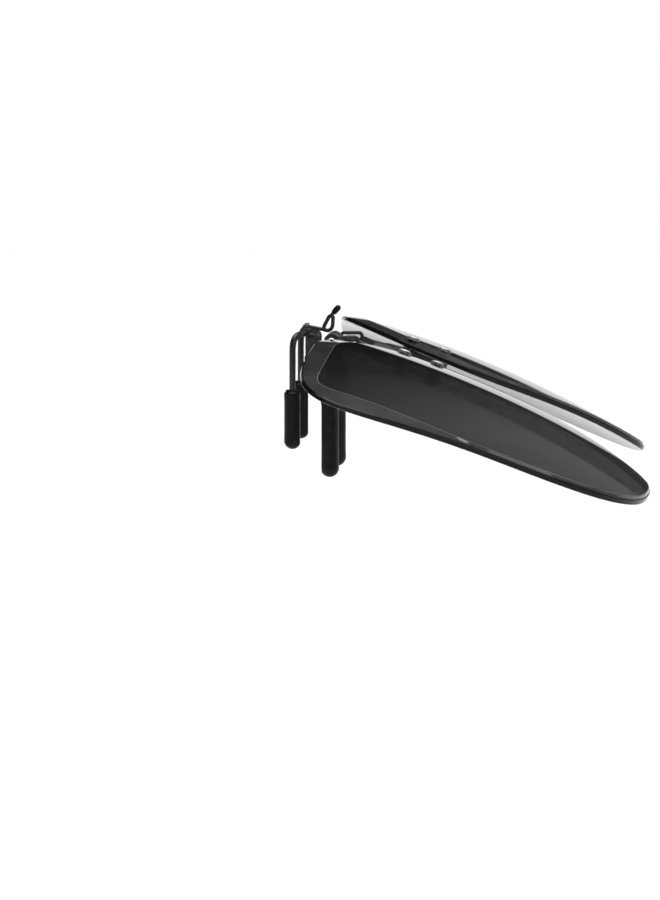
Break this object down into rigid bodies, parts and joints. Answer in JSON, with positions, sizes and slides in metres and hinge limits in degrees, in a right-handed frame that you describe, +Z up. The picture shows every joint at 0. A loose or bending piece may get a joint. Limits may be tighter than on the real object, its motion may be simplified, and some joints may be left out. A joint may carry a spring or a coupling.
{
  "type": "clip on sunglasses",
  "caption": "Flip-up clip-on: tinted rimless lenses on arms that swing from a sprung pinch clamp for the bridge of a pair of glasses.",
  "frame": {"origin": "midway between the front and rear gripping pads, in the plane of symmetry, where the front of the glasses is held", "axes": "+X to the wearer's left, +Y back towards the wearer's face, +Z up"},
  "size_m": [0.1338, 0.0509, 0.024],
  "materials": {
    "black_metal": "satin black lacquer",
    "bright_steel": "polished",
    "rubber": "matt",
    "tinted_lens": "dark grey tint, polished",
    "clear_plastic": "clear nylon"
  },
  "bodies": {
    "clamp": {"clamp_body": "black_metal", "bridge_cover": "black_metal", "cover_screws": "bright_steel", "front_prong_right": "black_metal", "front_prong_left": "black_metal", "front_sleeve_right": "rubber", "front_sleeve_left": "rubber", "jaw_pivot_pin": "black_metal", "jaw_spring": "bright_steel", "friction_leaf": "bright_steel", "leaf_screw": "bright_steel"},
    "rear_jaw": {"jaw_yoke": "black_metal", "rear_arm_right": "black_metal", "rear_arm_left": "black_metal", "rear_sleeve_right": "rubber", "rear_sleeve_left": "rubber", "pinch_lever": "black_metal", "lever_sleeve": "rubber"},
    "flip_frame": {"flip_bar": "bright_steel", "bar_collars": "black_metal", "loop_right": "black_metal", "loop_left": "black_metal", "arm_right": "black_metal", "arm_left": "black_metal", "lens_right": "tinted_lens", "lens_left": "tinted_lens", "rivets_right": "bright_steel", "rivets_left": "bright_steel", "nuts_right": "black_metal", "nuts_left": "black_metal", "washers_right": "clear_plastic", "washers_left": "clear_plastic"}
  },
  "joints": [
    {"name": "flip", "type": "hinge", "parent": "clamp", "child": "flip_frame", "pos_m": [0, -0.00265, 0.0125], "axis": [-1, 0, 0], "range_deg": [-66, 40]},
    {"name": "jaw", "type": "hinge", "parent": "clamp", "child": "rear_jaw", "pos_m": [0, 0.00015, 0.013], "axis": [1, 0, 0], "range_deg": [-9, 14], "stiffness_Nm_per_rad": 0.05}
  ]
}
